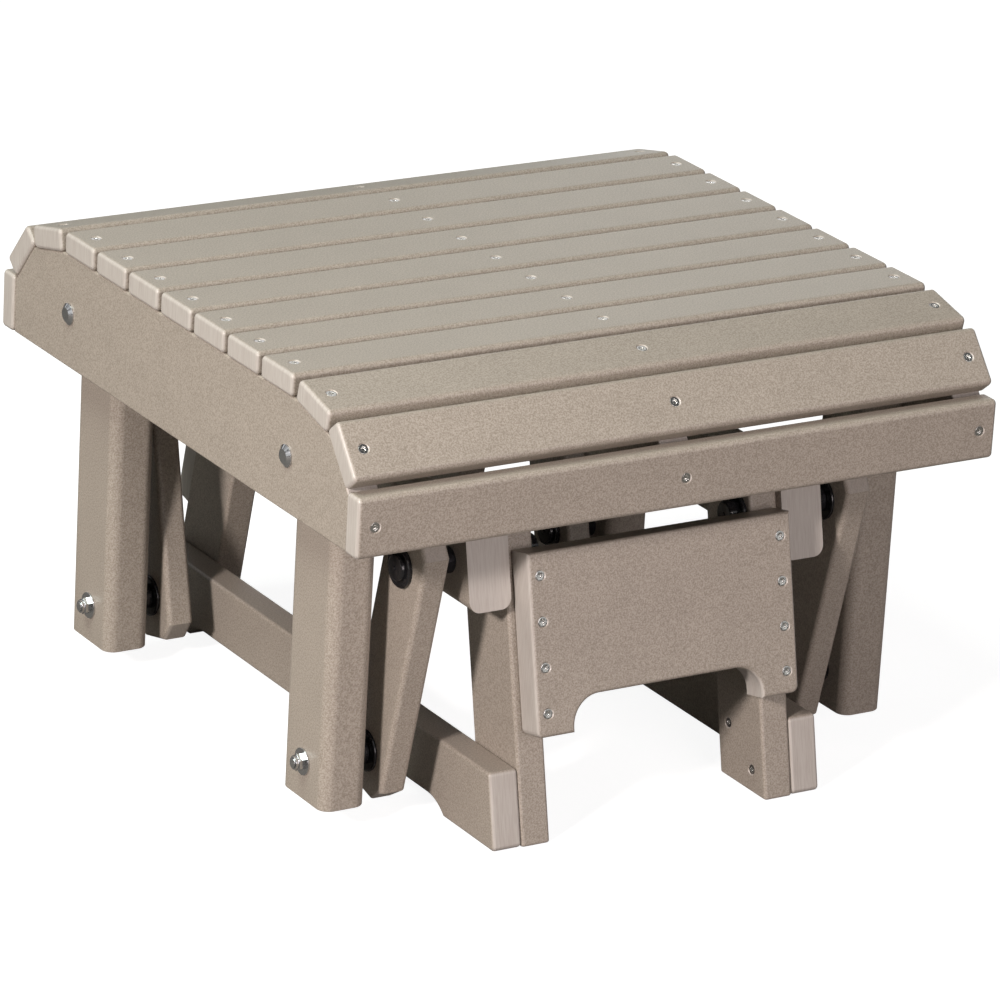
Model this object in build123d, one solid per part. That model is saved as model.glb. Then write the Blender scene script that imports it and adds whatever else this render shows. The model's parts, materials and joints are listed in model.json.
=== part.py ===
from build123d import *
import math
import os

# Glider ottoman: a slatted seat hung by four swinging arms from a standing base.
# Millimetres. +X runs along the slats, -Y is the front, +Z is up. The origin is on
# the floor, under the middle of the seat. The object is the same left and right, and
# the same front and rear, so each corner piece is drawn once, at the front right.

# Seat slats
SLAT_LENGTH = 610.0
SLAT_WIDTH = 51.5
SLAT_THICKNESS = 20.0
SLAT_GAP = 5.1
SLAT_ROUND = 4.5             # radius of the long edges
SLAT_END_ROUND = 3.5         # radius of the sawn ends
FLAT_SLATS = 7               # slats on the level part of the seat
SEAT_HEIGHT = 396.0          # floor to the top of the level slats

# Facets on which the slats at the front and rear follow the rails down
SHOULDER_ANGLE = 13.0
NOSE_ANGLE = 50.0
NOSE_SLAT_GAP = 2.0          # between the rounded edges of the shoulder and nose slats
NOSE_MARGIN = 4.0            # rail left below the nose slat
EDGE_SLAT_RISE = 3.6         # how far the edge slat stands above the rail's nose

# Rails under the slats
RAIL_THICKNESS = 28.0
RAIL_INSET = 2.0             # slat ends run past the side rails by this much
RAIL_EASE = 2.0
CENTRE_RAIL_LIFT = 6.0       # centre rail's underside above the side rails'

# Legs of the seat
LEG_THICKNESS = 41.5
LEG_WIDTH = 70.0
LEG_ROUND = 11.0
LEG_END_EASE = 1.0
LEG_Y = 188.0                # middle of the seat to the middle of a leg
LEG_FLOOR_GAP = 24.0
LEG_TOP_GAP = 10.0           # leg's top below the level slats
LEG_BOLT_DROP = 51.0         # carriage bolt below the level slats

# Swinging arms
ARM_THICKNESS = 24.0
ARM_WIDTH = 63.0
ARM_END = 38.0               # board past each pivot
ARM_CORNER = 14.5            # corners cut off at 45 degrees
ARM_EASE = 4.5
UPPER_PIVOT_Y = 228.6
UPPER_PIVOT_Z = 231.4
LOWER_PIVOT_Z = 57.0
LEG_GAP = 18.0               # between an arm and the leg beside it
BEAM_GAP = 20.5              # between an arm and the beam beside it

# Base
BEAM_THICKNESS = 39.0
BEAM_HEIGHT = 70.0
BEAM_ROUND = 9.5
BEAM_PROUD = 6.5             # beam end in front of the posts
BOARD_THICKNESS = 27.0
BOARD_EASE = 3.0
POST_WIDTH = 67.5
POST_FOOT_EASE = 2.0
POST_LEAN = 12.5
POST_FOOT_Y = 302.0          # outer edge of a post at the floor
RUNNER_HEIGHT = 64.5
RUNNER_CORNER = 4.0          # radius at the top and bottom of its ends
RELIEF_HEIGHT = 11.0         # the runner stands on its ends and clears the floor between
RELIEF_FLAT_Y = 193.0        # end of the level part of the relief
RELIEF_END_Y = 220.0         # start of the runner's foot
PANEL_INSET = 5.5            # panel's side edge inside the posts' outer faces
PANEL_HEIGHT = 152.0
PANEL_FLOOR = 93.5           # panel's lower edge, up the slope from the floor
PANEL_FOOT_WIDTH = 35.5      # of the panel on each side of its arch
PANEL_CORNER = 6.0           # radius of the lower outer corners
ARCH_HEIGHT = 29.0
ARCH_ROUND = 25.0

# Screws with a flat countersunk head and a six-lobed drive
SCREW_HEAD_RADIUS = 4.4
SCREW_SHANK_RADIUS = 2.0
SCREW_TIP = 4.0
SCREW_SINK = 0.6             # head below the board's face
SCREW_REACH = 28.0           # screw past the board that it holds
POST_SCREW_REACH = 22.5      # shorter, to stay inside the runners and beams
DRIVE_RADIUS = 2.2
DRIVE_WAIST = 1.6            # radius between two lobes
DRIVE_LOBES = 6
DRIVE_DEPTH = 1.6
PANEL_SCREWS = 4             # on each side of a panel
PANEL_SCREW_MARGIN = 19.3
RUNNER_SCREWS = ((19.0, 24.0), (51.0, 59.5))     # across and up a post
BEAM_SCREWS = ((48.0, 220.0), (48.0, 254.0))

# Bolts, washers and nuts
BOLT_RADIUS = 4.0
BOLT_HEAD_RADIUS = 6.5
BOLT_HEAD_HEIGHT = 4.5
BOLT_CROWN_RADIUS = 5.5      # flat top of the head
BOLT_END = 1.0               # bolt past its nut
CARRIAGE_HEAD_RADIUS = 9.5
CARRIAGE_HEAD_HEIGHT = 3.6
CARRIAGE_CROWN_RADIUS = 6.0
WASHER_RADIUS = 11.5
WASHER_THICKNESS = 1.6
SMALL_WASHER_RADIUS = 8.0
NUT_FLATS = 13.0
NUT_HEIGHT = 5.0
NUT_COLLAR_RADIUS = 5.6
NUT_COLLAR_HEIGHT = 2.6

# Pivot bearings and their covers
BEARING_RADIUS = 13.0
FLANGE_RADIUS = 18.0
FLANGE_THICKNESS = 3.0
SPACER_RADIUS = 11.0
CAP_RADIUS = 17.2
CAP_RIM = 3.6                # height of the rim
CAP_LIP = 2.4                # from the rim's edge to the groove inside it
CAP_HUB_ROUND = 2.4
CAP_WALL = 2.0
CAP_NUB_RADIUS = 1.6
CAP_EASE = 0.8

# Clearances
FIT = 0.1                    # around screws, bolts and bearings that stay put
RUNNING_FIT = 0.05           # around a bolt that turns in its bearing
SIDE_PLAY = 0.3              # beside a part that turns
LINK_SLACK = 2.6             # around the rear lower bolts, which take up the swing

# ---- Sizes that follow -----------------------------------------------------------

slat_pitch = SLAT_WIDTH + SLAT_GAP
slat_underside = SEAT_HEIGHT - SLAT_THICKNESS

rail_outer = SLAT_LENGTH / 2 - RAIL_INSET
leg_outer = rail_outer - RAIL_THICKNESS
leg_inner = leg_outer - LEG_THICKNESS
arm_outer = leg_inner - LEG_GAP
arm_inner = arm_outer - ARM_THICKNESS
beam_outer = arm_inner - BEAM_GAP
post_outer = beam_outer - BEAM_THICKNESS
post_inner = post_outer - BOARD_THICKNESS

rail_screw_x = rail_outer - RAIL_THICKNESS / 2
arm_length = math.hypot(UPPER_PIVOT_Y - LEG_Y, UPPER_PIVOT_Z - LOWER_PIVOT_Z)
arm_lean = math.atan2(UPPER_PIVOT_Y - LEG_Y, UPPER_PIVOT_Z - LOWER_PIVOT_Z)
leg_bolt_z = slat_underside - LEG_BOLT_DROP
beam_top = UPPER_PIVOT_Z + BEAM_HEIGHT / 2
nut_stack = WASHER_THICKNESS + NUT_HEIGHT + NUT_COLLAR_HEIGHT
cap_room = SIDE_PLAY + max(BOLT_HEAD_RADIUS + LINK_SLACK, SMALL_WASHER_RADIUS, NUT_FLATS / math.sqrt(3))
nut_cap_depth = SIDE_PLAY + nut_stack + BOLT_END
head_cap_depth = SIDE_PLAY + BOLT_HEAD_HEIGHT + SIDE_PLAY


def facet_directions(angle):
    """Down the facet, and out of it, for the front of the seat, as (y, z)."""
    a = math.radians(angle)
    return Vector(0, -math.cos(a), -math.sin(a)), Vector(0, -math.sin(a), math.cos(a))


# Corners of the rails' top edge, from the level part down to the nose
shoulder_down, shoulder_out = facet_directions(SHOULDER_ANGLE)
nose_down, nose_out = facet_directions(NOSE_ANGLE)
level_corner = Vector(0, -(FLAT_SLATS * slat_pitch + SLAT_GAP) / 2, slat_underside)
shoulder_corner = level_corner + shoulder_down * slat_pitch


def nose_slat_start():
    """How far down the nose facet the nose slat starts, to clear the shoulder slat.

    The slats' rounded lower edges lie 2 radii and the gap apart, centre to centre.
    """
    reach = 2 * SLAT_ROUND + NOSE_SLAT_GAP
    apart = (nose_out - shoulder_out) * SLAT_ROUND + shoulder_down * (SLAT_GAP + SLAT_ROUND)
    along = apart.dot(nose_down)
    return -along + math.sqrt(along**2 - apart.dot(apart) + reach**2) - SLAT_ROUND


nose_start = nose_slat_start()
nose_corner = shoulder_corner + nose_down * (nose_start + SLAT_WIDTH + NOSE_MARGIN)
edge_slat_top = nose_corner.Z + EDGE_SLAT_RISE
rail_bottom = edge_slat_top - SLAT_WIDTH


def slat_seats():
    """Where each slat's underside sits, from the front edge slat to the rear one."""
    shoulder = level_corner + shoulder_down * (SLAT_WIDTH / 2)
    nose = shoulder_corner + nose_down * (nose_start + SLAT_WIDTH / 2)
    edge = Vector(0, nose_corner.Y, edge_slat_top - SLAT_WIDTH / 2)
    slopes = ((edge, 90.0), (nose, NOSE_ANGLE), (shoulder, SHOULDER_ANGLE))
    seats = [Location(at, (angle, 0, 0)) for at, angle in slopes]
    for i in range(FLAT_SLATS):
        y = (i - (FLAT_SLATS - 1) / 2) * slat_pitch
        seats.append(Location((0, y, slat_underside)))
    for at, angle in reversed(slopes):
        seats.append(Location((0, -at.Y, at.Z), (-angle, 0, 0)))
    return seats


# ---- Stock and hardware ----------------------------------------------------------


def bar(length, width, thickness, radius):
    """Stock along X with rounded long edges, its underside in the XY plane."""
    section = Plane.YZ * Pos(0, thickness / 2) * RectangleRounded(width, thickness, radius)
    return extrude(section, length / 2, both=True)


def yz_board(points, thickness, ease):
    """Board cut to an outline of (y, z) points, from x = 0 to its thickness."""
    outline = make_face(Polyline(*[(0, y, z) for y, z in points], close=True))
    board = extrude(outline, thickness, dir=(1, 0, 0))
    return ease_faces(board, Axis.X, ease)


def ease_faces(board, axis, radius):
    """Round the edges of the two faces that end the board along an axis."""
    faces = board.faces().sort_by(axis)
    return fillet(faces[0].edges() + faces[-1].edges(), radius)


def turned(*profile):
    """Solid turned about Z from an outline of (radius, z) points."""
    outline = make_face(Polyline(*[(r, 0, z) for r, z in profile], close=True))
    return revolve(outline, Axis.Z)


def screw_body(length, growth=0.0):
    """Screw without its drive, head up at z = 0. Growth makes it the hole's shape."""
    head = SCREW_HEAD_RADIUS + growth
    shank = SCREW_SHANK_RADIUS + growth
    shank_top = -(head - shank)
    point = -length - growth
    return turned((0, 0), (head, 0), (shank, shank_top), (shank, SCREW_TIP - length), (0, point))


def screw(length):
    points = []
    for i in range(2 * DRIVE_LOBES):
        angle = math.pi * i / DRIVE_LOBES
        radius = DRIVE_RADIUS if i % 2 else DRIVE_WAIST
        points.append((radius * math.cos(angle), radius * math.sin(angle)))
    drive = extrude(make_face(Polyline(*points, close=True)), -DRIVE_DEPTH)
    return screw_body(length) - drive


def screw_hole(length):
    """Room for a screw, with the countersink open to past the board's face."""
    head = SCREW_HEAD_RADIUS + FIT
    rise = 2 * SCREW_SINK
    mouth = Cone(head, head + rise, rise, align=(Align.CENTER, Align.CENTER, Align.MIN))
    return screw_body(length, FIT) + mouth


def tube(outer, inner, length):
    """Ring from z = 0 up."""
    return turned((inner, 0), (outer, 0), (outer, length), (inner, length))


def rod(radius, length):
    return Cylinder(radius, length, align=(Align.CENTER, Align.CENTER, Align.MIN))


def bolt(grip, head_radius, head_height, crown):
    """Bolt with its head below z = 0, for boards from z = 0 to the grip and a nut."""
    end = grip + nut_stack + BOLT_END
    shoulder = -head_height / 3
    top = (crown, -head_height)
    head = turned((0, -head_height), top, (head_radius, shoulder), (head_radius, 0), (0, 0))
    return head + rod(BOLT_RADIUS, end)


def washer(radius):
    return tube(radius, BOLT_RADIUS + FIT, WASHER_THICKNESS)


def lock_nut():
    """Hexagon nut with the round collar of its insert, standing on z = 0."""
    hexagon = extrude(RegularPolygon(NUT_FLATS / 2, 6, major_radius=False), NUT_HEIGHT)
    collar = Pos(0, 0, NUT_HEIGHT) * rod(NUT_COLLAR_RADIUS, NUT_COLLAR_HEIGHT)
    return hexagon + collar - rod(BOLT_RADIUS + FIT, NUT_HEIGHT + NUT_COLLAR_HEIGHT)


def bearing(bore):
    """Flanged bush: flange below z = 0, barrel through the arm above it."""
    return turned(
        (bore, -FLANGE_THICKNESS),
        (FLANGE_RADIUS - CAP_EASE, -FLANGE_THICKNESS),
        (FLANGE_RADIUS, -FLANGE_THICKNESS + CAP_EASE),
        (FLANGE_RADIUS, 0),
        (BEARING_RADIUS, 0),
        (BEARING_RADIUS, ARM_THICKNESS),
        (bore, ARM_THICKNESS),
    )


def cap(depth):
    """Cover with that room inside for a bolt's head or nut: a rim, a hub and a small nub."""
    hub = cap_room + CAP_WALL
    top = depth + CAP_WALL
    return turned(
        (cap_room, 0),
        (CAP_RADIUS, 0),
        (CAP_RADIUS, CAP_RIM - CAP_EASE),
        (CAP_RADIUS - CAP_EASE, CAP_RIM),
        (CAP_RADIUS - CAP_LIP, CAP_RIM),
        (CAP_RADIUS - CAP_LIP - CAP_EASE, CAP_RIM - CAP_EASE),
        (hub, CAP_RIM - CAP_EASE),
        (hub, top - CAP_HUB_ROUND),
        (hub - CAP_EASE, top - CAP_EASE),
        (hub - CAP_HUB_ROUND, top),
        (CAP_NUB_RADIUS, top),
        (CAP_NUB_RADIUS, top + CAP_EASE),
        (0, top + CAP_EASE),
        (0, depth),
        (cap_room, depth),
    )


# ---- Placing ---------------------------------------------------------------------

nodes = {}
SIDES = (("left", -1), ("right", 1))
ENDS = (("front", -1), ("rear", 1))
CORNERS = [(f"{end_name}_{side_name}", side, end) for end_name, end in ENDS for side_name, side in SIDES]


def in_corner(piece, side, end):
    """A front right piece, mirrored into the corner that the two signs name."""
    if side < 0:
        piece = mirror(piece, about=Plane.YZ)
    if end > 0:
        piece = mirror(piece, about=Plane.XZ)
    return piece


def along_x(piece, x, y, z, facing=1):
    """Turn a piece's Z axis to point along +X, or along -X, and move it into place."""
    return Pos(x, y, z) * Rot(0, 90 * facing, 0) * piece


def in_every_corner(piece):
    return Compound([in_corner(piece, side, end) for _, side, end in CORNERS])


# ---- Seat ------------------------------------------------------------------------

seat_screw_length = SLAT_THICKNESS - SCREW_SINK + SCREW_REACH
seat_screw_places = [
    seat * Pos(x, 0, SLAT_THICKNESS - SCREW_SINK)
    for seat in slat_seats()
    for x in (-rail_screw_x, 0, rail_screw_x)
]
seat_screw_holes = [place * screw_hole(seat_screw_length) for place in seat_screw_places]


def make_slats():
    slat = ease_faces(bar(SLAT_LENGTH, SLAT_WIDTH, SLAT_THICKNESS, SLAT_ROUND), Axis.X, SLAT_END_ROUND)
    for x in (-rail_screw_x, 0, rail_screw_x):
        slat -= Pos(x, 0, SLAT_THICKNESS - SCREW_SINK) * screw_hole(seat_screw_length)
    for number, seat in enumerate(slat_seats(), start=1):
        nodes[f"seat_slat_{number:02d}"] = seat * slat


def make_rail(x, bottom, *bolt_holes):
    """Rail under the slats, from x inwards by its thickness, drilled for the screws."""
    half = [
        (nose_corner.Y, bottom),
        (nose_corner.Y, nose_corner.Z),
        (shoulder_corner.Y, shoulder_corner.Z),
        (level_corner.Y, level_corner.Z),
    ]
    outline = half + [(-y, z) for y, z in reversed(half)]
    rail = Pos(x - RAIL_THICKNESS, 0, 0) * yz_board(outline, RAIL_THICKNESS, RAIL_EASE)
    middle = x - RAIL_THICKNESS / 2
    for place, hole in zip(seat_screw_places, seat_screw_holes):
        if abs(place.position.X - middle) < RAIL_THICKNESS / 2:
            rail -= hole
    return rail - list(bolt_holes)


def make_rails():
    hole = along_x(rod(BOLT_RADIUS + FIT, 3 * RAIL_THICKNESS), leg_outer - RAIL_THICKNESS, 0, leg_bolt_z)
    holes = [Pos(0, y, 0) * hole for y in (-LEG_Y, LEG_Y)]
    right_rail = make_rail(rail_outer, rail_bottom, *holes)
    nodes["right_side_rail"] = right_rail
    nodes["left_side_rail"] = mirror(right_rail, about=Plane.YZ)
    nodes["centre_rail"] = make_rail(RAIL_THICKNESS / 2, rail_bottom + CENTRE_RAIL_LIFT)


def make_legs():
    height = slat_underside - LEG_TOP_GAP - LEG_FLOOR_GAP
    section = RectangleRounded(LEG_THICKNESS, LEG_WIDTH, LEG_ROUND)
    leg = ease_faces(extrude(section, height), Axis.Z, LEG_END_EASE)
    leg = Pos((leg_inner + leg_outer) / 2, -LEG_Y, LEG_FLOOR_GAP) * leg
    hole = rod(BOLT_RADIUS + FIT, 2 * LEG_THICKNESS)
    for z in (leg_bolt_z, LOWER_PIVOT_Z):
        leg -= along_x(hole, leg_inner - LEG_THICKNESS / 2, -LEG_Y, z)
    for corner, side, end in CORNERS:
        nodes[f"{corner}_leg"] = in_corner(leg, side, end)


def make_seat_fasteners():
    one_screw = screw(seat_screw_length)
    nodes["slat_screws"] = Compound([place * one_screw for place in seat_screw_places])

    grip = RAIL_THICKNESS + LEG_THICKNESS
    carriage_bolt = bolt(grip, CARRIAGE_HEAD_RADIUS, CARRIAGE_HEAD_HEIGHT, CARRIAGE_CROWN_RADIUS)
    carriage_bolt = along_x(carriage_bolt, rail_outer, -LEG_Y, leg_bolt_z, -1)
    nodes["leg_carriage_bolts"] = in_every_corner(carriage_bolt)
    leg_washer = along_x(washer(WASHER_RADIUS), leg_inner, -LEG_Y, leg_bolt_z, -1)
    nodes["leg_bolt_washers"] = in_every_corner(leg_washer)
    leg_nut = along_x(lock_nut(), leg_inner - WASHER_THICKNESS, -LEG_Y, leg_bolt_z, -1)
    nodes["leg_bolt_nuts"] = in_every_corner(leg_nut)


def make_lower_pivots():
    """Bolts through the legs and the arms' lower ends, with the nut outside the leg."""
    head_x = arm_inner - SIDE_PLAY
    grip = leg_outer - head_x
    pivot_bolt = bolt(grip, BOLT_HEAD_RADIUS, BOLT_HEAD_HEIGHT, BOLT_CROWN_RADIUS)
    spacer = tube(SPACER_RADIUS, BOLT_RADIUS + FIT, LEG_GAP - FLANGE_THICKNESS - SIDE_PLAY)
    pieces = {
        "lower_pivot_bolts": along_x(pivot_bolt, head_x, -LEG_Y, LOWER_PIVOT_Z),
        "lower_pivot_spacers": along_x(spacer, leg_inner, -LEG_Y, LOWER_PIVOT_Z, -1),
        "lower_pivot_washers": along_x(washer(WASHER_RADIUS), leg_outer, -LEG_Y, LOWER_PIVOT_Z),
        "lower_pivot_nuts": along_x(lock_nut(), leg_outer + WASHER_THICKNESS, -LEG_Y, LOWER_PIVOT_Z),
    }
    for name, piece in pieces.items():
        nodes[name] = in_every_corner(piece)


# ---- Arms ------------------------------------------------------------------------


def make_arms():
    """Arm boards with a bearing at each end, a flange on one face and a cap on the other."""
    board = Rectangle(ARM_WIDTH, arm_length + 2 * ARM_END)
    board = chamfer(board.vertices(), ARM_CORNER)
    board = ease_faces(extrude(board, ARM_THICKNESS), Axis.Z, ARM_EASE)
    bore = rod(BEARING_RADIUS + FIT, ARM_THICKNESS)
    for y in (-arm_length / 2, arm_length / 2):
        board -= Pos(0, y, 0) * bore
    # The board is drawn flat, with its length along Y and its outer face up
    arm_plane = Plane(
        origin=(arm_inner, -(LEG_Y + UPPER_PIVOT_Y) / 2, (LOWER_PIVOT_Z + UPPER_PIVOT_Z) / 2),
        x_dir=(0, math.cos(arm_lean), math.sin(arm_lean)),
        z_dir=(1, 0, 0),
    )
    arm = arm_plane.location * board

    snug = BOLT_RADIUS + RUNNING_FIT
    upper = along_x(bearing(snug), arm_inner, -UPPER_PIVOT_Y, UPPER_PIVOT_Z)
    upper_cap = along_x(cap(head_cap_depth), arm_outer, -UPPER_PIVOT_Y, UPPER_PIVOT_Z)
    lower_cap = along_x(cap(head_cap_depth), arm_inner, -LEG_Y, LOWER_PIVOT_Z, -1)
    lower_bore = {-1: snug, 1: BOLT_RADIUS + LINK_SLACK}
    for corner, side, end in CORNERS:
        lower = along_x(bearing(lower_bore[end]), arm_outer, -LEG_Y, LOWER_PIVOT_Z, -1)
        nodes[f"{corner}_arm"] = in_corner(arm, side, end)
        bearings = [in_corner(piece, side, end) for piece in (upper, lower)]
        nodes[f"{corner}_arm_bearings"] = Compound(bearings)
        caps = [in_corner(piece, side, end) for piece in (upper_cap, lower_cap)]
        nodes[f"{corner}_arm_caps"] = Compound(caps)


# ---- Base ------------------------------------------------------------------------

lean = math.radians(POST_LEAN)
# Local frame of the front right post: X forwards across it, Y up the slope, Z out of its inner face
post_plane = Plane(
    origin=(post_inner, -POST_FOOT_Y, 0),
    x_dir=(0, -math.cos(lean), math.sin(lean)),
    z_dir=(-1, 0, 0),
)
# Local frame of the front panel: X along the object's X, Y up the slope, Z out of its face
panel_plane = Plane(
    origin=(0, -POST_FOOT_Y, 0),
    x_dir=(1, 0, 0),
    z_dir=(0, -math.cos(lean), math.sin(lean)),
)
panel_screw_x = (post_inner + post_outer - PANEL_INSET) / 2
post_screw_length = BOARD_THICKNESS - SCREW_SINK + POST_SCREW_REACH
panel_screw_length = BOARD_THICKNESS - SCREW_SINK + SCREW_REACH


def on_post(across, up):
    """Place on a post's inner face, measured from its outer edge, with Z out of the face."""
    return post_plane.location * Pos(-across, up, -SCREW_SINK)


def panel_screw_places():
    """Places on the front panel's outer face, with Z pointing out of the face."""
    pitch = (PANEL_HEIGHT - 2 * PANEL_SCREW_MARGIN) / (PANEL_SCREWS - 1)
    places = []
    for x in (-panel_screw_x, panel_screw_x):
        for i in range(PANEL_SCREWS):
            up = PANEL_FLOOR + PANEL_SCREW_MARGIN + i * pitch
            places.append(panel_plane.location * Pos(x, up, BOARD_THICKNESS - SCREW_SINK))
    return places


def level_cut(piece, low, high):
    """Keep what lies between two heights."""
    slab = Pos(0, 0, (low + high) / 2) * Box(4 * SLAT_LENGTH, 4 * SLAT_LENGTH, high - low)
    return piece & slab


def make_posts(holes):
    long = 2 * beam_top
    section = Pos(POST_WIDTH / 2, 0) * RectangleRounded(POST_WIDTH, BOARD_THICKNESS, BOARD_EASE)
    across = Vector(0, math.cos(lean), -math.sin(lean))
    up = Vector(0, math.sin(lean), math.cos(lean))
    middle = Vector((post_inner + post_outer) / 2, -POST_FOOT_Y, 0)
    stock = extrude(Plane(origin=middle - up * (long / 4), x_dir=across, z_dir=up) * section, long)
    post = level_cut(stock, 0, beam_top)
    post = fillet(post.faces().sort_by(Axis.Z)[0].edges(), POST_FOOT_EASE) - holes
    for corner, side, end in CORNERS:
        nodes[f"{corner}_post"] = in_corner(post, side, end)


def slanted_length(piece, proud):
    """Cut both ends of a piece along the slope of the posts, standing proud of them."""
    reach = 4 * POST_FOOT_Y
    front = panel_plane.location * Pos(0, 0, proud + reach / 2) * Box(reach, 2 * reach, reach)
    return piece - front - mirror(front, about=Plane.XZ)


def make_beams(holes):
    section = Pos((post_outer + beam_outer) / 2, UPPER_PIVOT_Z)
    section *= RectangleRounded(BEAM_THICKNESS, BEAM_HEIGHT, BEAM_ROUND)
    stock = extrude(Plane.XZ * section, 1.5 * POST_FOOT_Y, both=True)
    beam = slanted_length(stock, BEAM_PROUD) - holes
    nodes["right_beam"] = beam
    nodes["left_beam"] = mirror(beam, about=Plane.YZ)


def make_runners(holes):
    """Boards on the floor that join front and rear posts, with the relief cut below."""
    rise = RELIEF_END_Y - RELIEF_FLAT_Y
    radius = (rise**2 + RELIEF_HEIGHT**2) / (2 * RELIEF_HEIGHT)
    turn = math.asin(rise / radius) / 2
    mid_y = RELIEF_FLAT_Y + radius * math.sin(turn)
    mid_z = RELIEF_HEIGHT - radius * (1 - math.cos(turn))
    slope = RUNNER_HEIGHT * math.tan(lean)
    top_y = POST_FOOT_Y - slope
    outline = Line((0, -RELIEF_FLAT_Y, RELIEF_HEIGHT), (0, RELIEF_FLAT_Y, RELIEF_HEIGHT))
    outline += ThreePointArc((0, RELIEF_FLAT_Y, RELIEF_HEIGHT), (0, mid_y, mid_z), (0, RELIEF_END_Y, 0))
    outline += Polyline(
        (0, RELIEF_END_Y, 0),
        (0, POST_FOOT_Y, 0),
        (0, top_y, RUNNER_HEIGHT),
        (0, -top_y, RUNNER_HEIGHT),
        (0, -POST_FOOT_Y, 0),
        (0, -RELIEF_END_Y, 0),
    )
    outline += ThreePointArc((0, -RELIEF_END_Y, 0), (0, -mid_y, mid_z), (0, -RELIEF_FLAT_Y, RELIEF_HEIGHT))
    side = make_face(outline)
    side = fillet([v for v in side.vertices() if abs(v.Y) > RELIEF_END_Y], RUNNER_CORNER)
    board = extrude(side, BOARD_THICKNESS, dir=(1, 0, 0))
    runner = Pos(post_outer, 0, 0) * ease_faces(board, Axis.X, BOARD_EASE) - holes
    nodes["right_runner"] = runner
    nodes["left_runner"] = mirror(runner, about=Plane.YZ)


def make_panels(holes):
    """Panels across the posts' outer edges, with an arch cut into the lower edge."""
    half_width = post_outer - PANEL_INSET
    sheet = Pos(0, PANEL_FLOOR + PANEL_HEIGHT / 2) * Rectangle(2 * half_width, PANEL_HEIGHT)
    sheet = fillet(sheet.vertices().group_by(Axis.Y)[0], PANEL_CORNER)
    arch_width = 2 * (half_width - PANEL_FOOT_WIDTH)
    arch = Pos(0, PANEL_FLOOR) * RectangleRounded(arch_width, 2 * ARCH_HEIGHT, ARCH_ROUND)
    board = extrude(sheet - arch, BOARD_THICKNESS)
    panel = panel_plane.location * ease_faces(board, Axis.Z, BOARD_EASE) - holes
    nodes["front_panel"] = panel
    nodes["rear_panel"] = mirror(panel, about=Plane.XZ)


def make_upper_pivots():
    """Bolts that carry the arms, through the beam and post, with the nut under a cap."""
    head_x = arm_outer + SIDE_PLAY
    pivot_bolt = bolt(head_x - post_inner, BOLT_HEAD_RADIUS, BOLT_HEAD_HEIGHT, BOLT_CROWN_RADIUS)
    spacer = tube(SPACER_RADIUS, BOLT_RADIUS + FIT, BEAM_GAP - FLANGE_THICKNESS - SIDE_PLAY)
    small_washer = washer(SMALL_WASHER_RADIUS)
    nut_x = post_inner - WASHER_THICKNESS
    pieces = {
        "upper_pivot_bolts": along_x(pivot_bolt, head_x, -UPPER_PIVOT_Y, UPPER_PIVOT_Z, -1),
        "upper_pivot_spacers": along_x(spacer, beam_outer, -UPPER_PIVOT_Y, UPPER_PIVOT_Z),
        "upper_pivot_washers": along_x(small_washer, post_inner, -UPPER_PIVOT_Y, UPPER_PIVOT_Z, -1),
        "upper_pivot_nuts": along_x(lock_nut(), nut_x, -UPPER_PIVOT_Y, UPPER_PIVOT_Z, -1),
        "post_caps": along_x(cap(nut_cap_depth), post_inner, -UPPER_PIVOT_Y, UPPER_PIVOT_Z, -1),
    }
    for name, piece in pieces.items():
        nodes[name] = in_every_corner(piece)


def make_base():
    """Boards of the base, each drilled for the bolts and screws that pass through it."""
    drill = rod(BOLT_RADIUS + FIT, 2 * (beam_outer - post_inner))
    bolt_hole = along_x(drill, post_inner - BOARD_THICKNESS, -UPPER_PIVOT_Y, UPPER_PIVOT_Z)
    post_screw_places = [on_post(*at) for at in RUNNER_SCREWS + BEAM_SCREWS]
    post_holes = [place * screw_hole(post_screw_length) for place in post_screw_places]
    panel_holes = [place * screw_hole(panel_screw_length) for place in panel_screw_places()]
    corner_holes = post_holes + [bolt_hole]
    mirrored_holes = corner_holes + [mirror(hole, about=Plane.XZ) for hole in corner_holes]

    make_posts(corner_holes + panel_holes)
    make_beams(mirrored_holes)
    make_runners(mirrored_holes)
    make_panels(panel_holes)
    make_upper_pivots()

    post_screw = screw(post_screw_length)
    runner_count = len(RUNNER_SCREWS)
    placed = [place * post_screw for place in post_screw_places]
    nodes["runner_screws"] = in_every_corner(Compound(placed[:runner_count]))
    nodes["beam_screws"] = in_every_corner(Compound(placed[runner_count:]))
    front = [place * screw(panel_screw_length) for place in panel_screw_places()]
    nodes["panel_screws"] = Compound(front + [mirror(one, about=Plane.XZ) for one in front])


make_slats()
make_rails()
make_legs()
make_seat_fasteners()
make_lower_pivots()
make_arms()
make_base()

os.makedirs("parts", exist_ok=True)
for name, shape in nodes.items():
    export_step(shape, f"parts/{name}.step")
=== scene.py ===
import json
import math

import bmesh
import bpy
from mathutils import Matrix, Vector

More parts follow.
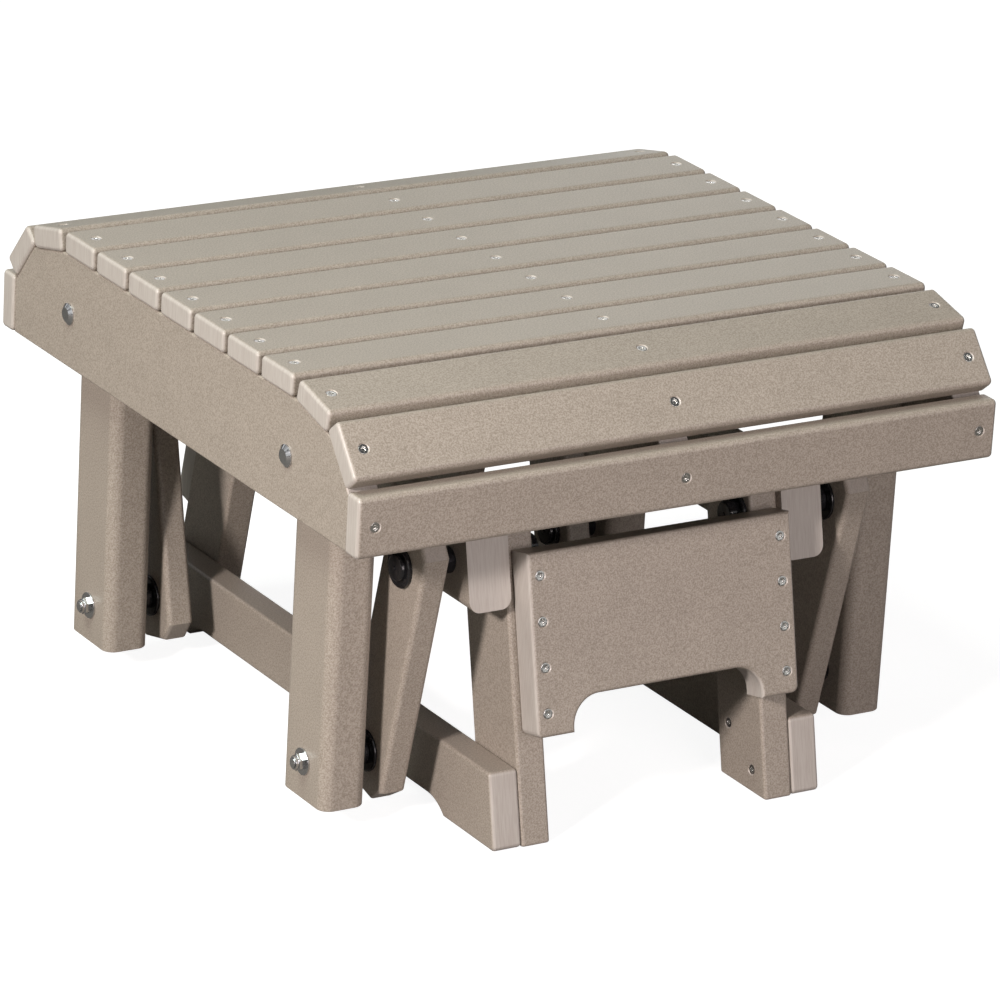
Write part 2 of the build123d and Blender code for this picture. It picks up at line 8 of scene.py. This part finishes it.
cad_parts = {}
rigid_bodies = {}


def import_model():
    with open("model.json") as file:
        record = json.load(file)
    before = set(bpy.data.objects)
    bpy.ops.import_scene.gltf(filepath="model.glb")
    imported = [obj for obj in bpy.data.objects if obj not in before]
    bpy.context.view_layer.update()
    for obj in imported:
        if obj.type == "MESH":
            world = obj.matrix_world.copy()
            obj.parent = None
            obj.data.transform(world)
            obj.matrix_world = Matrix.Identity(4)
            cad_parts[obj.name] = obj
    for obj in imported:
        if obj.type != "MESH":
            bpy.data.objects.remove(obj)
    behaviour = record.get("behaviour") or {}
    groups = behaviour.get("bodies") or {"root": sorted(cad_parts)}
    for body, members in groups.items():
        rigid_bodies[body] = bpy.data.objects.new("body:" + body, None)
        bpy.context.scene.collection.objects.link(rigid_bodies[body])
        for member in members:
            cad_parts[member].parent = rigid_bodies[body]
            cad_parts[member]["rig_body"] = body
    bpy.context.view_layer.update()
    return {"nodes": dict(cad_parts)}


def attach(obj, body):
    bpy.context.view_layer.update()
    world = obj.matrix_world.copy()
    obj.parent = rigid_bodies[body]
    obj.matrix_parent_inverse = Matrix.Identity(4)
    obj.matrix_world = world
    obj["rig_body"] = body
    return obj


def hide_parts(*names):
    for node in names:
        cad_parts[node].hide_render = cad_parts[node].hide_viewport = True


# Looks of a glider ottoman made of plastic lumber boards, stainless screws and zinc plated bolts.
# Metres, +Z up, the front edge board towards -Y. All places come from the CAD nodes.

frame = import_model()

# ---------------------------------------------------------------- what the boards are

SLATS = [f"seat_slat_{i:02d}" for i in range(1, 14)]
CORNERS = ["front_left", "front_right", "rear_left", "rear_right"]
SIDES = ["left", "right"]

# Each board, and the axis its cut ends face: the board is sawn to length across this direction.
BOARDS = {name: "x" for name in SLATS}
BOARDS.update({name: "y" for name in ["left_side_rail", "right_side_rail", "centre_rail"]})
BOARDS.update({f"{side}_beam": "y" for side in SIDES})
BOARDS.update({f"{side}_runner": "y" for side in SIDES})
BOARDS.update({"front_panel": "x", "rear_panel": "x"})
BOARDS.update({f"{corner}_leg": "z" for corner in CORNERS})
BOARDS.update({f"{corner}_arm": "z" for corner in CORNERS})
BOARDS.update({f"{corner}_post": "z" for corner in CORNERS})

# ---------------------------------------------------------------- colours


def from_hex(colour):
    """A hex colour as the renderer's linear values."""
    parts = [int(colour[i:i + 2], 16) / 255 for i in (1, 3, 5)]
    linear = [p / 12.92 if p <= 0.04045 else ((p + 0.055) / 1.055) ** 2.4 for p in parts]
    return (*linear, 1.0)


LUMBER = "#A59C91"
LUMBER_PALE = "#B4ABA0"
LUMBER_DARK = "#938A7E"
SAWN = "#C1BCB5"
SAWN_LINE = "#B6AFA8"

# Waves per metre of the patterns: the foam's fine mottle, its slow clouding, and the plating
SPECKLE_WAVES, CLOUD_WAVES, SCREW_WAVES, ZINC_WAVES, NYLON_WAVES = 760.0, 26.0, 900.0, 500.0, 300.0
# Saw strokes at an end, in waves per metre: drawn out across it, fine over them, and into the board
STROKE_WAVES, STROKE_FINE_WAVES, STROKE_DEEP_WAVES = 45, 900, 30

# ---------------------------------------------------------------- node helper


def add(tree, kind, settings=None, **links):
    """A shader node of that kind. Settings are its own properties. A link is a value for the
    input of that name, or the (node, output) it takes."""
    node = tree.nodes.new(kind)
    for key, value in (settings or {}).items():
        setattr(node, key, value)
    for name, value in links.items():
        socket = node.inputs[int(name[1:])] if name[0] == "i" and name[1:].isdigit() else None
        if socket is None:
            socket = node.inputs[name.replace("_", " ")]
        if isinstance(value, tuple) and value and isinstance(value[0], bpy.types.Node):
            tree.links.new(value[0].outputs[value[1]], socket)
        else:
            socket.default_value = value
    return node


def ramp(tree, source, *stops):
    """A colour ramp from source through (place, colour) stops."""
    node = add(tree, "ShaderNodeValToRGB", Fac=source)
    while len(node.color_ramp.elements) < len(stops):
        node.color_ramp.elements.new(0.5)
    for element, (place, colour) in zip(node.color_ramp.elements, stops):
        element.position = place
        element.color = colour if isinstance(colour, tuple) else (colour, colour, colour, 1.0)
    return node


def material(name):
    """A new empty node material, and its surface shader."""
    made = bpy.data.materials.new(name)
    made.use_nodes = True
    tree = made.node_tree
    tree.nodes.clear()
    shader = tree.nodes.new("ShaderNodeBsdfPrincipled")
    out = tree.nodes.new("ShaderNodeOutputMaterial")
    tree.links.new(shader.outputs[0], out.inputs[0])
    return made, tree, shader


def connect(tree, node, output, shader, name):
    """Feeds a node's output to the shader's input of that name."""
    tree.links.new(node.outputs[output], shader.inputs[name])


def mixed(tree, factor, first, second, blend="MIX"):
    """Two colours mixed by factor."""
    node = tree.nodes.new("ShaderNodeMix")
    node.data_type = "RGBA"
    node.blend_type = blend
    for socket, value in ((node.inputs[0], factor), (node.inputs[6], first), (node.inputs[7], second)):
        if isinstance(value, tuple) and isinstance(value[0], bpy.types.Node):
            tree.links.new(value[0].outputs[value[1]], socket)
        else:
            socket.default_value = value
    return node


# ---------------------------------------------------------------- materials


def plastic_lumber():
    """Recycled polyethylene lumber, extruded in a mould and coloured through. Its skin carries a fine
    mottle from the foaming. The cut ends show paler saw strokes, and the "sawn" attribute marks them."""
    made, tree, shader = material("plastic_lumber")
    place = add(tree, "ShaderNodeTexCoord")
    own = add(tree, "ShaderNodeAttribute", {"attribute_name": "along"})
    sawn = add(tree, "ShaderNodeAttribute", {"attribute_name": "sawn"})
    speckle = add(tree, "ShaderNodeTexNoise", Vector=(place, "Object"), Scale=SPECKLE_WAVES,
                  Detail=2.0, Roughness=0.6)
    cloud = add(tree, "ShaderNodeTexNoise", Vector=(place, "Object"), Scale=CLOUD_WAVES,
                Detail=2.0, Roughness=0.5)
    grain = add(tree, "ShaderNodeTexNoise", Vector=(own, "Vector"), Scale=1.0, Detail=2.0, Roughness=0.6)
    mottle = ramp(tree, (speckle, 0), (0.36, from_hex(LUMBER_DARK)), (0.5, from_hex(LUMBER)),
                  (0.64, from_hex(LUMBER_PALE)))
    soft = ramp(tree, (cloud, 0), (0.3, 0.955), (0.7, 1.0))
    skin = mixed(tree, 1.0, (mottle, 0), (soft, 0), "MULTIPLY")
    lines = ramp(tree, (grain, 0), (0.35, from_hex(SAWN_LINE)), (0.62, from_hex(SAWN)))
    colour = mixed(tree, (sawn, "Fac"), (skin, 2), (lines, 0))
    connect(tree, colour, 2, shader, "Base Color")
    rough = ramp(tree, (speckle, 0), (0.3, 0.36), (0.7, 0.46))
    # The router leaves the ends a little shinier than the foamed skin.
    sheen = mixed(tree, (sawn, "Fac"), (rough, 0), (0.32, 0.32, 0.32, 1.0))
    connect(tree, sheen, 2, shader, "Roughness")
    skin_bump = add(tree, "ShaderNodeBump", Height=(speckle, 0), Strength=0.14, Distance=0.0003)
    saw_bump = add(tree, "ShaderNodeBump", Height=(grain, 0), Strength=0.35, Distance=0.0004)
    relief = mixed(tree, (sawn, "Fac"), (skin_bump, 0), (saw_bump, 0))
    connect(tree, relief, 2, shader, "Normal")
    return made


# The metals' darker patches, as a share of their colour
DULL = 0.86


def steel(name, colour, rough_low, rough_high, waves):
    """Bright metal with a fine uneven finish, of that many waves per metre."""
    made, tree, shader = material(name)
    place = add(tree, "ShaderNodeTexCoord")
    uneven = add(tree, "ShaderNodeTexNoise", Vector=(place, "Object"), Scale=waves,
                 Detail=3.0, Roughness=0.6)
    rough = ramp(tree, (uneven, 0), (0.3, rough_low), (0.7, rough_high))
    full = from_hex(colour)
    dull = (*(c * DULL for c in full[:3]), 1.0)
    tint = ramp(tree, (uneven, 0), (0.3, dull), (0.7, full))
    shader.inputs["Metallic"].default_value = 1.0
    connect(tree, tint, 0, shader, "Base Color")
    connect(tree, rough, 0, shader, "Roughness")
    bump = add(tree, "ShaderNodeBump", Height=(uneven, 0), Strength=0.15, Distance=0.0002)
    connect(tree, bump, 0, shader, "Normal")
    return made


def black_plastic():
    """Moulded black nylon of the bearings, spacers and caps, glossy from the mould."""
    made, tree, shader = material("black_nylon")
    place = add(tree, "ShaderNodeTexCoord")
    uneven = add(tree, "ShaderNodeTexNoise", Vector=(place, "Object"), Scale=NYLON_WAVES, Detail=2.0)
    rough = ramp(tree, (uneven, 0), (0.3, 0.16), (0.7, 0.24))
    tint = ramp(tree, (uneven, 0), (0.3, from_hex("#161617")), (0.7, from_hex("#232326")))
    connect(tree, tint, 0, shader, "Base Color")
    connect(tree, rough, 0, shader, "Roughness")
    bump = add(tree, "ShaderNodeBump", Height=(uneven, 0), Strength=0.08, Distance=0.0002)
    connect(tree, bump, 0, shader, "Normal")
    return made


LUMBER_SKIN = plastic_lumber()
# Stainless steel screws, turned and polished.
SCREW_STEEL = steel("stainless_steel", "#D9D8D4", 0.1, 0.2, SCREW_WAVES)
# Zinc plated bolts, washers and nuts, bright with a slight grain from the plating.
ZINC = steel("zinc_plate", "#CFD0D2", 0.12, 0.26, ZINC_WAVES)
NYLON = black_plastic()

# ---------------------------------------------------------------- pieces

AXES = {"x": Vector((1, 0, 0)), "y": Vector((0, 1, 0)), "z": Vector((0, 0, 1))}
WELD = 0.000005
EDGE_ANGLE = math.radians(28)
# How squarely a face looks along the board where a cut end starts and is full, as cosines. The
# routed edges of the ends lie between the two.
END_STARTS, END_FULL = 0.3, 0.7


def body_of_node(name):
    """The body that a CAD node rides on."""
    return frame["nodes"][name]["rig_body"]


def dress(name, finish, blunt=0.0):
    """A smooth shaded copy of a CAD node, welded and given a finish, that stands for the node.
    Its sharp edges can be blunted by that many metres."""
    source = frame["nodes"][name]
    shape = bmesh.new()
    shape.from_mesh(source.data)
    bmesh.ops.remove_doubles(shape, verts=shape.verts, dist=WELD)
    mesh = bpy.data.meshes.new(name + "_skin")
    shape.to_mesh(mesh)
    shape.free()
    for attribute in [a.name for a in mesh.attributes if a.name.startswith("custom_normal")]:
        mesh.attributes.remove(mesh.attributes[attribute])
    mesh.materials.clear()
    mesh.materials.append(finish)
    for face in mesh.polygons:
        face.material_index = 0
        face.use_smooth = True
    if not blunt:
        mesh.set_sharp_from_angle(angle=EDGE_ANGLE)
    piece = bpy.data.objects.new(name + "_skin", mesh)
    bpy.context.scene.collection.objects.link(piece)
    if blunt:
        edges = piece.modifiers.new("blunt", "BEVEL")
        edges.width = blunt
        edges.segments = 3
        edges.limit_method = "ANGLE"
        edges.angle_limit = EDGE_ANGLE
        edges.harden_normals = False
    even = piece.modifiers.new("even", "WEIGHTED_NORMAL")
    even.keep_sharp = not blunt
    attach(piece, body_of_node(name))
    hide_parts(name)
    return piece


def lean_of(mesh, axis):
    """The direction a board runs in: the face normal nearest the axis, by area."""
    total = Vector()
    for face in mesh.polygons:
        if face.normal.dot(AXES[axis]) > 0.8:
            total += face.normal * face.area
    return total.normalized()


def board(name, axis):
    """A plastic lumber board with its sawn ends marked."""
    piece = dress(name, LUMBER_SKIN)
    mesh = piece.data
    run = lean_of(mesh, axis)
    sawn = mesh.attributes.new("sawn", "FLOAT", "FACE")
    for i, face in enumerate(mesh.polygons):
        facing = (abs(face.normal.dot(run)) - END_STARTS) / (END_FULL - END_STARTS)
        sawn.data[i].value = min(max(facing, 0.0), 1.0)
    # Saw strokes cross the end, so the pattern is drawn out along one side of it.
    across = run.orthogonal().normalized() if axis == "z" else AXES["z"] - run * run.dot(AXES["z"])
    across.normalize()
    third = run.cross(across)
    along = mesh.attributes.new("along", "FLOAT_VECTOR", "POINT")
    for i, vertex in enumerate(mesh.vertices):
        place = vertex.co
        along.data[i].vector = (place.dot(across) * STROKE_WAVES, place.dot(third) * STROKE_FINE_WAVES,
                                place.dot(run) * STROKE_DEEP_WAVES)
    return piece


for board_name, board_axis in BOARDS.items():
    board(board_name, board_axis)

SCREW_EDGE = 0.0004
SCREWS = ["slat_screws", "runner_screws", "beam_screws", "panel_screws"]
for screws in SCREWS:
    dress(screws, SCREW_STEEL, SCREW_EDGE)

# The rolled heads of the carriage bolts are domes, the moulded caps and bearings have soft edges,
# and other fittings only have their edges broken.
DOMED, MOULDED, BROKEN = 0.0016, 0.0008, 0.0003
for fitting in frame["nodes"]:
    if fitting in BOARDS or fitting in SCREWS:
        continue
    if "cap" in fitting or "bearing" in fitting or "spacer" in fitting:
        dress(fitting, NYLON, MOULDED)
    else:
        dress(fitting, ZINC, DOMED if "carriage" in fitting else BROKEN)

# ---------------------------------------------------------------- floor, light and camera

FLOOR_RADIUS = 14.0
FLOOR_DROP = 0.0003     # keeps the floor from flickering through the feet that stand on it


def studio_floor():
    """A pale floor that reads white and keeps the shadow. It can't be seen from below."""
    shape = bmesh.new()
    bmesh.ops.create_circle(shape, cap_ends=True, segments=96, radius=FLOOR_RADIUS)
    bmesh.ops.translate(shape, verts=shape.verts, vec=(0, 0, -FLOOR_DROP))
    mesh = bpy.data.meshes.new("studio_floor")
    shape.to_mesh(mesh)
    shape.free()
    floor = bpy.data.objects.new("studio_floor", mesh)
    bpy.context.scene.collection.objects.link(floor)
    made = bpy.data.materials.new("studio_floor")
    made.use_nodes = True
    tree = made.node_tree
    tree.nodes.clear()
    path = add(tree, "ShaderNodeLightPath")
    seen = add(tree, "ShaderNodeBsdfDiffuse", Color=(0.4, 0.4, 0.4, 1.0))
    bounced = add(tree, "ShaderNodeBsdfDiffuse", Color=(0.22, 0.21, 0.2, 1.0))
    glow = add(tree, "ShaderNodeEmission", Color=(1.0, 1.0, 1.0, 1.0), Strength=0.91)
    lit = add(tree, "ShaderNodeAddShader", i0=(seen, 0), i1=(glow, 0))
    both = add(tree, "ShaderNodeMixShader", i0=(path, "Is Camera Ray"), i1=(bounced, 0), i2=(lit, 0))
    side = add(tree, "ShaderNodeNewGeometry")
    clear = add(tree, "ShaderNodeBsdfTransparent")
    one_sided = add(tree, "ShaderNodeMixShader", i0=(side, "Backfacing"), i1=(both, 0), i2=(clear, 0))
    add(tree, "ShaderNodeOutputMaterial", Surface=(one_sided, 0))
    mesh.materials.append(made)
    return floor


def area_light(name, place, aim, width, height, power, colour="#FFFFFF"):
    """A lamp at place, aimed at a point, that lights but isn't seen."""
    data = bpy.data.lights.new(name, "AREA")
    data.shape = "RECTANGLE"
    data.size, data.size_y = width, height
    data.energy = power
    data.color = from_hex(colour)[:3]
    light = bpy.data.objects.new(name, data)
    light.location = place
    light.rotation_mode = "QUATERNION"
    light.rotation_quaternion = (Vector(aim) - Vector(place)).to_track_quat("-Z", "Y")
    light.visible_camera = False
    bpy.context.scene.collection.objects.link(light)
    return light


studio_floor()
MIDDLE = (0, 0, 0.2)
# The small key draws the sharp shadows of the legs and arms; the big boxes fill from the other sides.
area_light("key", (-3.28, -1.6, 1.83), MIDDLE, 0.4, 0.4, 133, "#FFF4F0")
area_light("top_left_softbox", (-1.7, 0.0, 3.38), MIDDLE, 1.6, 1.6, 75, "#F6FFF6")
area_light("front_fill", (0.0, -4.2, 1.2), MIDDLE, 2.4, 1.6, 67, "#FFF2F2")
area_light("back_fill", (3.2, 3.2, 0.9), MIDDLE, 2.2, 1.2, 16)

world = bpy.data.worlds.new("studio")
bpy.context.scene.world = world
world.use_nodes = True
world.node_tree.nodes.clear()
# Bright surfaces mirror pale and dark cards, the boards get little light from the air, and the
# camera sees it white.
ray = add(world.node_tree, "ShaderNodeLightPath")
heading = add(world.node_tree, "ShaderNodeTexCoord")
cards = add(world.node_tree, "ShaderNodeTexNoise", Vector=(heading, "Generated"), Scale=2.2, Detail=1.0)
mirrored = ramp(world.node_tree, (cards, 0), (0.44, 0.1), (0.5, 0.45), (0.58, 1.0))
lit_air = mixed(world.node_tree, (ray, "Is Glossy Ray"), (0.04, 0.04, 0.04, 1.0), (mirrored, 0))
seen_air = mixed(world.node_tree, (ray, "Is Camera Ray"), (lit_air, 2), (1.0, 1.0, 1.0, 1.0))
air = add(world.node_tree, "ShaderNodeBackground", Color=(seen_air, 2), Strength=1.0)
add(world.node_tree, "ShaderNodeOutputWorld", Surface=(air, 0))

# The photograph's view: a long lens from the front left, tipped a few degrees.
TURN, TILT, ROLL = math.radians(-32.354), math.radians(20.950), math.radians(3.336)
AIM = Vector((0.02921, 0.0, 0.10925))
FAR = 5.1306
SENSOR = 36.0
ahead = Vector((-math.sin(TURN) * math.cos(TILT), math.cos(TURN) * math.cos(TILT), -math.sin(TILT)))
right = Vector((math.cos(TURN), math.sin(TURN), 0.0))
up = right.cross(ahead)
right_rolled = right * math.cos(ROLL) + up * math.sin(ROLL)
up_rolled = -right * math.sin(ROLL) + up * math.cos(ROLL)
camera = bpy.data.objects.new("camera", bpy.data.cameras.new("camera"))
camera.data.sensor_width = SENSOR
camera.data.lens = SENSOR * 5.9749
camera.data.shift_x = -0.0070
camera.data.shift_y = 0.0709
camera.data.clip_end = 60.0
turned = Matrix((right_rolled, up_rolled, -ahead)).transposed()
camera.matrix_world = Matrix.Translation(AIM - ahead * FAR) @ turned.to_4x4()
bpy.context.scene.collection.objects.link(camera)
bpy.context.scene.camera = camera
bpy.context.scene.view_settings.view_transform = "Standard"
